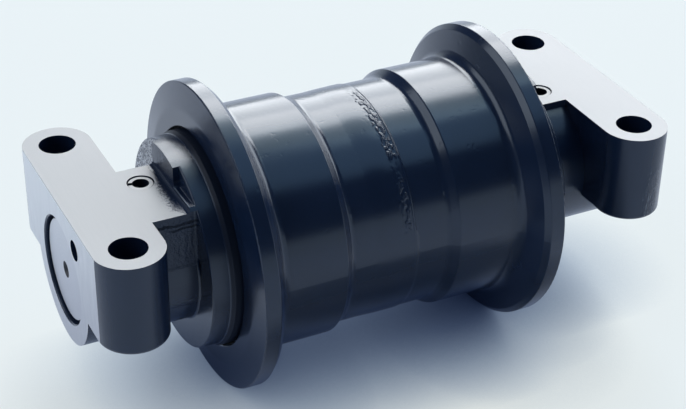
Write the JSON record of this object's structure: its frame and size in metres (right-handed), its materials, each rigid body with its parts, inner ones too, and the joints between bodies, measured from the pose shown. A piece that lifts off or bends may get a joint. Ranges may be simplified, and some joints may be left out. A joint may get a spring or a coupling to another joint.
{
  "type": "track bottom roller",
  "caption": "Crawler track bottom roller: flanged hollow roller turning on a fixed shaft held by end collars with flat bolting pads, sealed by floating face seals.",
  "frame": {"origin": "middle of the roller on its turning axis", "axes": "+Y along the turning axis, +Z square to the milled pads and out of them, +X across, along the bolt rows"},
  "size_m": [0.1886, 0.369, 0.1886],
  "materials": {
    "shell_paint": "dark blue-grey gloss paint over forged steel",
    "collar_paint": "dark blue-grey paint on the cast skin, bare milled pads and end faces",
    "shaft_steel": "ground and turned",
    "pin_steel": "bright spring steel",
    "plug_steel": "oiled steel",
    "bushing_bronze": "bimetal bearing bronze",
    "seal_iron": "lapped alloy iron",
    "ring_rubber": "black nitrile rubber"
  },
  "bodies": {
    "axle": {"shaft": "shaft_steel", "oil_plug": "plug_steel", "oil_plug_ring": "ring_rubber", "left_collar": "collar_paint", "left_lock_pin": "pin_steel", "left_shaft_ring": "ring_rubber", "left_fixed_seal_ring": "seal_iron", "left_fixed_toric_ring": "ring_rubber", "right_collar": "collar_paint", "right_lock_pin": "pin_steel", "right_shaft_ring": "ring_rubber", "right_fixed_seal_ring": "seal_iron", "right_fixed_toric_ring": "ring_rubber"},
    "roller": {"roller_shell": "shell_paint", "left_bushing": "bushing_bronze", "left_turning_seal_ring": "seal_iron", "left_turning_toric_ring": "ring_rubber", "right_bushing": "bushing_bronze", "right_turning_seal_ring": "seal_iron", "right_turning_toric_ring": "ring_rubber"}
  },
  "joints": [
    {"name": "roller_spin", "type": "hinge", "parent": "axle", "child": "roller", "pos_m": [0, 0, 0], "axis": [0, 1, 0], "continuous": true}
  ]
}
